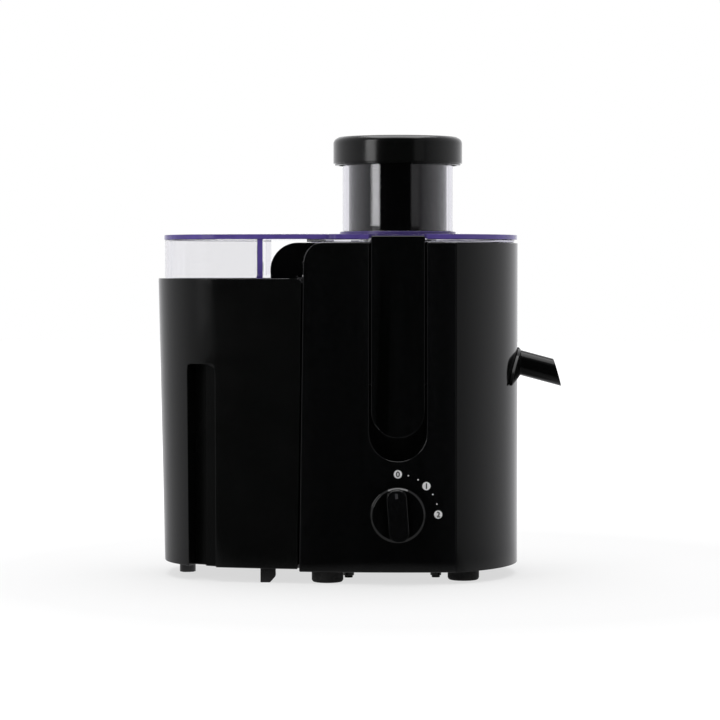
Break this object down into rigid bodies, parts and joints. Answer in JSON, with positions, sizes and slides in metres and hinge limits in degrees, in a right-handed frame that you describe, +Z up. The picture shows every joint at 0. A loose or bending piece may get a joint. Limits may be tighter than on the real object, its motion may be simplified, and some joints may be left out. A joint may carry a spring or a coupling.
{
  "type": "centrifugal juicer",
  "caption": "Compact centrifugal juicer: round motor housing with flat front, clear lid and feed chute with pusher, side pulp container, spout and latches.",
  "frame": {"origin": "on the counter, under the motor shaft's axis", "axes": "+Z up along the shaft, -Y is the front with the knob, +X the side with the juice spout"},
  "size_m": [0.3002, 0.1805, 0.3245],
  "materials": {
    "gloss_black": "high gloss moulded black",
    "satin_black": "satin moulded black",
    "clear_plastic": "clear with a faint violet tint at the edges",
    "black_rubber": "matt",
    "steel": "brushed",
    "bright_steel": "ground and polished",
    "white_plastic": "satin",
    "white_print": "printed",
    "motor_iron": "laminated",
    "copper": "enamelled wire",
    "zinc": "die cast",
    "bronze": "sintered",
    "carbon": "matt",
    "dark_plastic": "moulded",
    "amber_plastic": "dipped resin"
  },
  "bodies": {
    "housing": {"housing": "satin_black", "latch_pockets": "satin_black", "motor_deck": "satin_black", "front_panel": "gloss_black", "base_plate": "satin_black", "rubber_feet": "black_rubber", "base_screws": "steel", "latch_pins": "bright_steel", "rotary_switch": "dark_plastic", "dial_marks": "white_print", "interlock_switch": "dark_plastic", "shaft_seal": "black_rubber", "stator": "motor_iron", "field_coils": "copper", "upper_bracket": "zinc", "lower_bracket": "zinc", "upper_bearing": "bronze", "lower_bearing": "bronze", "brush_holders": "bronze", "carbon_brushes": "carbon", "motor_dampers": "black_rubber", "motor_screws": "steel", "suppression_capacitor": "amber_plastic", "cord_gland": "black_rubber"},
    "rotor": {"motor_shaft": "bright_steel", "armature": "motor_iron", "armature_winding": "copper", "commutator": "copper", "cooling_fan": "dark_plastic", "drive_coupling": "white_plastic"},
    "bowl": {"juice_bowl": "satin_black", "bowl_collar": "satin_black"},
    "basket": {"filter_basket": "steel", "cutter_disc": "bright_steel", "basket_hub": "dark_plastic", "basket_rim": "dark_plastic"},
    "lid": {"lid": "clear_plastic", "feed_chute": "clear_plastic"},
    "pusher": {"pusher": "gloss_black", "pusher_cap": "gloss_black"},
    "container": {"pulp_container": "satin_black"},
    "front_latch": {"front_latch": "gloss_black"},
    "rear_latch": {"rear_latch": "gloss_black"},
    "knob": {"speed_knob": "gloss_black", "switch_shaft": "bright_steel"},
    "plunger": {"interlock_plunger": "white_plastic"},
    "spout": {"juice_spout": "gloss_black"}
  },
  "joints": [
    {"name": "rotor_spin", "type": "hinge", "parent": "housing", "child": "rotor", "pos_m": [0, 0, 0.07], "axis": [0, 0, 1], "continuous": true},
    {"name": "bowl_lift", "type": "slide", "parent": "housing", "child": "bowl", "axis": [0, 0, 1], "range_m": [0, 0.12]},
    {"name": "basket_spin", "type": "hinge", "parent": "bowl", "child": "basket", "pos_m": [0, 0, 0.2], "axis": [0, 0, 1], "continuous": true},
    {"name": "lid_lift", "type": "slide", "parent": "bowl", "child": "lid", "axis": [0, 0, 1], "range_m": [0, 0.1]},
    {"name": "pusher_slide", "type": "slide", "parent": "lid", "child": "pusher", "axis": [0, 0, 1], "range_m": [0, 0.135]},
    {"name": "container_slide", "type": "slide", "parent": "housing", "child": "container", "axis": [-1, 0, 0], "range_m": [0, 0.12]},
    {"name": "front_latch_hinge", "type": "hinge", "parent": "housing", "child": "front_latch", "pos_m": [0, -0.0759, 0.143], "axis": [1, 0, 0], "range_deg": [0, 12]},
    {"name": "rear_latch_hinge", "type": "hinge", "parent": "housing", "child": "rear_latch", "pos_m": [0, 0.0759, 0.143], "axis": [-1, 0, 0], "range_deg": [0, 12]},
    {"name": "knob_turn", "type": "hinge", "parent": "housing", "child": "knob", "pos_m": [0, -0.085, 0.0505], "axis": [0, 1, 0], "range_deg": [0, 94]},
    {"name": "interlock_slide", "type": "slide", "parent": "housing", "child": "plunger", "axis": [0, 1, 0], "range_m": [0, 0.007]},
    {"name": "spout_slide", "type": "slide", "parent": "housing", "child": "spout", "axis": [1, 0, 0], "range_m": [0, 0.03]}
  ],
  "couplings": [
    {"joint": "basket_spin", "follows": "rotor_spin", "ratio": 1},
    {"joint": "interlock_slide", "follows": "front_latch_hinge", "m_per_rad": 0.032}
  ]
}
